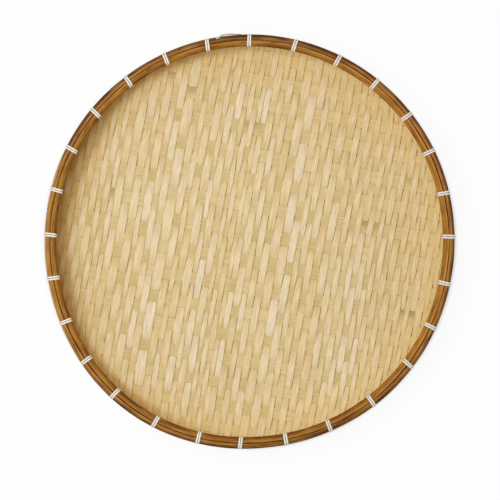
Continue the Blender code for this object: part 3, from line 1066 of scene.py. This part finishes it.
@dataclass(frozen=True, kw_only=True)
class SplitBambooFinish(Finish):
    """Pale split bamboo: satin, with lengthwise streaks, fibres and knots, a painted sheen on the crests,
    and painted shade in the dips, along the edges and near the rim.

    Attributes:
        tones: the colours that floats and cells are drawn from, with their places.
        pale: the colour of a float's crest, a painted sheen.
        deep: its dark fibres, and the painted shade of its dips and edge lines.
        honey: the colour of broad patches.
        knot: the colour of a node of the cane.
        bent_tone: the colour that the mat tends to where it is bent up at the rim.
        warmed: a colour that it turns towards on the right.
        left_rim_shade: painted shade on the left side, where the hoops shade the wall and the mat right
            below the inner hoop.
        gripped: painted shade on the mat's edge, deep in the slot between the hoops.
        strip_edge_shade: painted shade towards a strip's two edges, darker and yellower.
        shown_fibres: the patches' fibres by which the painted edge shadows come and go.
    """

    tones: Stripe
    pale: Colour
    deep: Colour
    honey: Colour
    knot: Colour
    bent_tone: Colour
    warmed: SideTint
    grain: Grain = (0.016, 0.0027, 0.012, 0.0007)
    patches: Grain = (0.021, 0.0060, 0.0105, 0.0060)
    roughness: Span = (0.49, 0.65)
    gloss: float = 0.12
    relief: float = 0.00006
    patch_shift: tuple[float, float, float] = (0.5, 0.5, 0.37)
    patch_fade: Fade = (0.2, 1.0, 0.34, 0.17)
    streak_share: float = 0.40
    fibre_share: float = 0.30
    crest_share: float = 0.22
    pale_sides: Span = (1.05, 0.40)
    bent_fade: Fade = (0.150, 0.194, 0.0, 0.70)
    bent_pale: Fade = (0.150, 0.194, 1.0, 0.4)
    knot_fade: Fade = (0.8, -0.9, 0.0, 0.72)
    # Painted shade: the hoops' shadow on the wall at the left, and a narrow band right below the inner hoop.
    left_rim_shade: tuple[SideTint, ...] = (
        SideTint(linear(172, 124, 34), 172.0, (0.125, 0.178), 0.80, (0.158, 0.187)),
        SideTint(linear(196, 134, 40), 172.0, (-0.02, 0.11), 0.68, (0.1800, 0.1885)))
    # Painted shade of the slot between the hoops, over the mat's edge.
    gripped: Colour = linear(40, 16, 5)
    gripped_heights: Span = (0.0268, 0.0300)
    # Painted shade towards both edges of a strip.
    strip_edge_shade: Colour = linear(214, 178, 96)
    strip_edge_shade_fade: Fade = (0.55, 1.0, 0.0, 0.0)
    # Painted shade in a long strip's dips, and on the hidden parts of a cross strip seen through the gaps.
    dip_shade_share: float = 0.04
    shown_fibres: Span = (0.36, 0.68)
    # Painted shadow along a strip's right edge, the side away from the key, and painted shade of the gap
    # along its left edge; both strongest on the crests.
    right_edge_shadow: Fade = (0.86, 0.97, 0.0, 0.98)
    left_edge_shade: Fade = (-0.90, -0.975, 0.0, 0.46)
    edge_shade_by_crest: Fade = (0.0, 1.0, 0.10, 1.0)

    def ground(self, w: Paint, side: Socket, crest: Socket, patches: Sockets) -> Socket:
        """The strip's colour: tone, broad patches, knots, a side tint, and painted shade near the rim on the
        left, in the slot and at the strip's edges.

        Args:
            w: the material's wiring.
            side: the place across the strip.
            crest: how near a float's middle it is.
            patches: the broad patches.

        Returns:
            The colour.
        """
        patched = w.times(patches["Streak"], w.ramp(crest, *self.patch_fade))
        base = w.blend(patched, w.stripes(w.mark("tone"), self.tones), self.honey)
        base = w.blend(w.ramp(w.away, *self.bent_fade), base, self.bent_tone)
        knot = w.times(w.mark("knot"), w.ramp(side, *self.knot_fade))
        base = w.blend(knot, base, self.knot)
        # A side tint, then the painted shade of the rim on the left.
        for side_tint in (self.warmed, *self.left_rim_shade):
            base = w.side_tinted(base, side_tint)
        # Painted shade of the slot, where the mat's edge lies between the hoops.
        base = w.blend(w.ramp(w.height(), *self.gripped_heights), base, self.gripped)
        # Painted shade towards the strip's edges.
        return w.blend(w.ramp(w.sum("ABSOLUTE", side), *self.strip_edge_shade_fade), base, self.strip_edge_shade)

    def colour(self, w: Paint, lines: Sockets) -> Socket:
        """The ground, with a painted sheen on the crests, dark fibres, and painted shade in the dips and
        along the edges.

        Args:
            w: the material's wiring.
            lines: its streaks and fibres.

        Returns:
            The colour.
        """
        crest, side = w.mark("crest"), w.mark("side")
        shifted = w.vector("ADD", w.mark("lay", "Vector"), self.patch_shift)["Vector"]
        patches = w.lines(shifted, self.patches)
        # Painted edge shadows, which come and go with the patches' fibres and grow on the crests.
        line = w.sum("MAXIMUM", w.ramp(side, *self.right_edge_shadow), w.ramp(side, *self.left_edge_shade))
        line = w.times(line, w.ramp(patches["Fibre"], *self.shown_fibres))
        line = w.times(line, w.ramp(crest, *self.edge_shade_by_crest))
        # Painted sheen on the crests, fading near the rim and towards the right edge, the side away from the
        # key.
        crest_paling = w.sum("ADD", self.crest_share, w.times(lines["Streak"], self.streak_share))
        crest_paling = w.times(w.times(crest, crest_paling), w.ramp(w.away, *self.bent_pale))
        return w.tinted(
            body=self.ground(w, side, crest, patches), pale=self.pale, deep=self.deep,
            streak=w.times(crest_paling, w.ramp(side, *self.pale_sides)),
            fibre=w.times(lines["Fibre"], self.fibre_share),
            # The mask: painted shade in the dips, and the painted edge shadows.
            mask=w.sum("MAXIMUM", w.times(w.mark("dip"), self.dip_shade_share), line))


@dataclass(frozen=True, kw_only=True)
class HoopFinish(Finish):
    """Amber bamboo skin: a colour for each place across the hoop, with painted light and shade, dark lines,
    and a gloss.

    Attributes:
        bands: places across, 0 on the hollow side to 1 outside, with their colours, darkened to painted
            shade at the seam and at the outer hoop's outer edge.
        key_side_bands: the same for the side towards the key light, with painted light and shade: the inner
            hoop darker towards its hollow side, and the outer hoop's outer edge lit pale.
        split: the colour of thin dark lines along the hoop.
        shade_stretches: darker stretches about as long as a hand: painted shade on the outer hoop at the top
            and the bottom.
        skin: the colour of the upright face that is seen from the side.
    """

    bands: Stripe
    key_side_bands: Stripe
    split: Colour
    pale: Colour
    skin_span: Span
    grain: Grain = (0.024, 0.0030, 0.017, 0.0016)
    roughness: Span = (0.37, 0.57)
    gloss: float = 0.06
    relief: float = 0.00008
    shade_stretches: tuple[SideTint, ...] = ()
    skin: Colour = linear(160, 108, 48)
    skin_heights: Span = (0.0400, 0.0388)
    key_side_deg: float = 184.0
    key_side_reach: Span = (0.160, 0.190)
    fibre_share: float = 0.60
    crack_fade: Fade = (0.58, 0.67, 0.0, 0.80)
    streak_share: float = 0.56

    def colour(self, w: Paint, lines: Sockets) -> Socket:
        """The bands, with painted light and shade by direction and stretches of painted shade, with light
        streaks and dark lines.

        Args:
            w: the material's wiring.
            lines: its streaks and fibres.

        Returns:
            The colour.
        """
        across = w.mark("cross")
        # The side towards the key takes its own bands: painted light and shade.
        base = w.blend(w.ramp(w.toward(self.key_side_deg), *self.key_side_reach),
                       w.stripes(across, self.bands), w.stripes(across, self.key_side_bands))
        # Stretches of painted shade.
        for side_tint in self.shade_stretches:
            base = w.side_tinted(base, side_tint)
        facing = w.times(w.ramp(across, *self.skin_span), w.ramp(w.height(), *self.skin_heights))
        return w.tinted(
            body=w.blend(facing, base, self.skin), pale=self.pale, deep=self.split,
            streak=w.times(lines["Streak"], self.streak_share),
            fibre=w.times(lines["Fibre"], self.fibre_share),
            mask=w.ramp(lines["Height"], *self.crack_fade))


@dataclass(frozen=True, kw_only=True)
class StrandFinish(Finish):
    """Off-white flat strand with a soft sheen, and painted shade along its edges."""

    name: str = "white strand"
    grain: Grain = (0.012, 0.0006, 0.010, 0.0002)
    roughness: Span = (0.34, 0.34)
    gloss: float = 0.5
    bump: float = 0.5
    relief: float = 0.00003
    body: Colour = linear(226, 220, 210)
    pale: Colour = linear(238, 232, 222)
    deep: Colour = linear(132, 122, 108)
    fibre_share: float = 0.10
    # Painted shade along the strand's edges.
    strand_edge_shade: Fade = (0.76, 1.0, 0.0, 0.75)

    def colour(self, w: Paint, lines: Sockets) -> Socket:
        """The body with pale streaks, faint fibres, and painted shade at its edges."""
        return w.tinted(
            body=self.body, pale=self.pale, deep=self.deep, streak=lines["Streak"],
            fibre=w.times(lines["Fibre"], self.fibre_share),
            mask=w.ramp(w.mark("edge"), *self.strand_edge_shade))


@dataclass
class Studio:
    """A white table, a soft key light from the left, an even fill, and the camera overhead.

    Attributes:
        key_level: how bright the key makes an upward face, as a share of its own colour.
        shade_radii: distances from the middle over which the table turns plain white.
    """

    camera_height: float = 9.0
    camera_sight: float = 50.0
    rim_height: float = 0.042
    metres_per_pixel: float = 0.000969
    pixels: int = 500
    offset: tuple[float, float] = (0.00080, -0.00790)
    sensor_mm: float = 36.0
    key_direction_deg: tuple[float, float] = (163.0, 73.0)
    key_distance: float = 2.0
    key_size: float = 1.0
    key_level: float = 0.570
    fill_level: float = 0.456
    floor_size: float = 12.0
    floor_colour: Colour = linear(244, 244, 244)
    glow_share: float = 0.93
    shade_radii: Span = (0.196, 0.204)

    def build(self) -> None:
        """Places the floor, the lights and the camera."""
        self._floor()
        self._key()
        self._world()
        self._camera()
        log.info("studio: floor, key light, fill and camera")

    @staticmethod
    def _seen(w: Wiring) -> Socket:
        """Tells rays from the eye, straight or by gloss or glass, from lighting rays.

        Args:
            w: the shader's wiring.

        Returns:
            1 for rays from the eye, else 0.
        """
        path = w.add("ShaderNodeLightPath").outputs
        mirrored = w.sum("MAXIMUM", path["Is Glossy Ray"], path["Is Transmission Ray"])
        return w.sum("MAXIMUM", path["Is Camera Ray"], mirrored)

    def _floor(self) -> None:
        """A white floor that glows plainly away from the tray, and keeps some of its shadow."""
        half = self.floor_size / 2
        corners = [(x * half, y * half, 0) for x, y in ((-1, -1), (1, -1), (1, 1), (-1, 1))]
        mesh = bpy.data.meshes.new("floor")
        mesh.from_pydata(corners, [], [(0, 1, 2, 3)])
        floor = placed("floor", mesh)
        material = bpy.data.materials.new("white table")
        material.use_nodes = True
        tree = material.node_tree
        tree.nodes.remove(tree.nodes["Principled BSDF"])
        w = Wiring(tree)
        away = w.vector("LENGTH", w.place())["Value"]
        glow = w.times(self._seen(w), w.ramp(away, *self.shade_radii, 0.0, self.glow_share))
        matte = w.add("ShaderNodeBsdfDiffuse", {"Color": self.floor_colour})
        white = w.add("ShaderNodeEmission", {"Color": (1.0, 1.0, 1.0), "Strength": 1.0})
        mixed = w.add("ShaderNodeMixShader", {0: glow, 1: matte.outputs[0], 2: white.outputs[0]})
        w.feed(tree.nodes["Material Output"].inputs["Surface"], mixed.outputs[0])
        mesh.materials.append(material)

    def _key(self) -> None:
        """The key light: power = level x pi^2 x distance^2 / sin(elevation)."""
        turn, climb = (math.radians(angle) for angle in self.key_direction_deg)
        light = bpy.data.lights.new("key", "AREA")
        light.shape = "DISK"
        light.size = self.key_size
        light.energy = self.key_level * math.pi ** 2 * self.key_distance ** 2 / math.sin(climb)
        lamp = placed("key", light)
        flat = self.key_distance * math.cos(climb)
        lamp.location = (flat * math.cos(turn), flat * math.sin(turn), self.key_distance * math.sin(climb))
        lamp.rotation_euler = (0, math.pi / 2 - climb, turn)

    def _world(self) -> None:
        """An even fill for the object, seen as plain white by the eye."""
        world = bpy.data.worlds.new("fill")
        world.use_nodes = True
        w = Wiring(world.node_tree)
        background = world.node_tree.nodes["Background"]
        w.feed(background.inputs["Color"], (1.0, 1.0, 1.0))
        w.feed(background.inputs["Strength"], w.ramp(self._seen(w), 0, 1, self.fill_level, 1.0))
        bpy.context.scene.world = world

    def _camera(self) -> None:
        """A long lens straight overhead: focal length = sensor x height / width seen."""
        lens = bpy.data.cameras.new("camera")
        lens.lens = self.sensor_mm * self.camera_height / (self.metres_per_pixel * self.pixels)
        lens.sensor_width = self.sensor_mm
        lens.clip_end = self.camera_sight
        camera = placed("camera", lens)
        camera.location = (*self.offset, self.rim_height + self.camera_height)
        bpy.context.scene.camera = camera
        bpy.context.scene.view_settings.view_transform = "Standard"


LONG_FINISH = SplitBambooFinish(
    name="pale long strips",
    tones=stripe((0.10, 226, 203, 140), (0.34, 235, 209, 156), (0.62, 238, 219, 173), (0.90, 245, 228, 197)),
    pale=linear(251, 229, 192), deep=linear(116, 62, 6), honey=linear(220, 192, 128),
    knot=linear(132, 106, 50), bent_tone=linear(240, 209, 140),
    warmed=SideTint(linear(222, 190, 122), 20.0, (0.02, 0.17), 0.50), strip_edge_shade_fade=(0.55, 1.0, 0.0, 0.34))

# The cross strips' hidden parts, seen through the gaps, take a strong painted shade.
CROSS_FINISH = SplitBambooFinish(
    name="greener cross strips",
    tones=stripe((0.1, 212, 189, 126), (0.38, 223, 195, 140), (0.66, 223, 202, 147), (0.92, 234, 207, 155)),
    pale=linear(226, 204, 156), deep=linear(128, 96, 40), honey=linear(210, 184, 118),
    knot=linear(136, 112, 44), bent_tone=linear(233, 204, 132),
    warmed=SideTint(linear(234, 202, 142), 62.0, (0.02, 0.17), 0.50), dip_shade_share=0.50,
    grain=(0.010, 0.0012, 0.012, 0.0007), patches=(0.012, 0.030, 0.006, 0.030),
    streak_share=0.5, patch_fade=(0.2, 1.0, 0.3, 0.15), fibre_share=0.25,
    left_edge_shade=(-0.90, -0.975, 0.0, 0.05), right_edge_shadow=(0.86, 0.97, 0.0, 0.05))

# The inner hoop's last bands are painted shade at the seam; its key-side bands are painted shade on the
# hollow side.
INNER_FINISH = HoopFinish(
    name="amber inner hoop",
    bands=stripe((0.0, 182, 126, 54), (0.12, 179, 123, 49), (0.27, 171, 113, 34), (0.43, 169, 110, 27),
                 (0.60, 183, 122, 43), (0.76, 205, 144, 74), (0.89, 205, 143, 76), (0.95, 166, 108, 50),
                 (1.0, 88, 40, 10)),
    key_side_bands=stripe((0.0, 106, 58, 8), (0.12, 106, 60, 6), (0.27, 118, 68, 8), (0.43, 140, 87, 18),
                 (0.60, 156, 103, 32), (0.76, 178, 122, 52), (0.89, 178, 124, 60), (0.95, 148, 98, 42),
                 (1.0, 80, 38, 8)),
    split=linear(96, 52, 8), pale=linear(190, 136, 50), skin_span=(0.4, 0.1), key_side_deg=190.0,
    key_side_reach=(-0.14, -0.05))

# The outer hoop's first band is painted shade at the seam, its outer bands painted shade at the outer edge,
# and its key-side outer edge a pale painted light; the stretches are painted shade.
OUTER_FINISH = HoopFinish(
    name="amber outer hoop",
    bands=stripe((0.0, 78, 36, 8), (0.09, 180, 122, 62), (0.28, 188, 130, 72), (0.41, 168, 111, 56),
                 (0.57, 108, 62, 24), (0.72, 80, 45, 15), (0.86, 62, 38, 13), (1.0, 48, 30, 13)),
    key_side_bands=stripe((0.0, 84, 42, 8), (0.11, 182, 126, 50), (0.33, 199, 141, 60), (0.55, 192, 139, 63),
                 (0.74, 199, 154, 86), (0.90, 210, 178, 120), (1.0, 196, 170, 122)),
    split=linear(80, 40, 10), pale=linear(190, 134, 58), skin_span=(0.6, 0.9),
    shade_stretches=tuple(SideTint(linear(80, 40, 10), degrees, (0.168, 0.192), 0.66) for degrees in (84.0, 289.0)))

# The loose strand's painted shade reaches far in from its edges, as a dark outline.
LOOSE_FINISH = StrandFinish(
    name="loose strand", body=linear(232, 226, 212), deep=linear(84, 56, 28),
    strand_edge_shade=(0.30, 1.0, 0.0, 0.75))


def main() -> None:
    """Builds and dresses the tray, and sets the studio."""
    logging.basicConfig(level=logging.INFO, format="%(message)s")
    groups = Groups(grain_group(), tint_group())
    dish = Dish()

    weave = Weave(dish)
    for way, finish in ((Way.LONG, LONG_FINISH), (Way.CROSS, CROSS_FINISH)):
        weave.dress(weave.build(way), finish.material(groups))

    inner = Hoop("inner_hoop", dish, inner_radius=0.1890, width=0.00570,
                 hollow_round=0.0022, outer_round=0.0004, lap_deg=347.0, seed=5)
    outer = Hoop("outer_hoop", dish, inner_radius=0.19512, width=0.00508,
                 hollow_round=0.0004, outer_round=0.0022, lap_deg=154.0, seed=8)
    for assembly, finish in ((inner, INNER_FINISH), (outer, OUTER_FINISH),
                             (Bindings(dish, inner, outer), StrandFinish()),
                             (LooseEnd(dish), LOOSE_FINISH)):
        assembly.dress(assembly.build(), finish.material(groups))

    Studio().build()


if __name__ == "__main__":
    main()
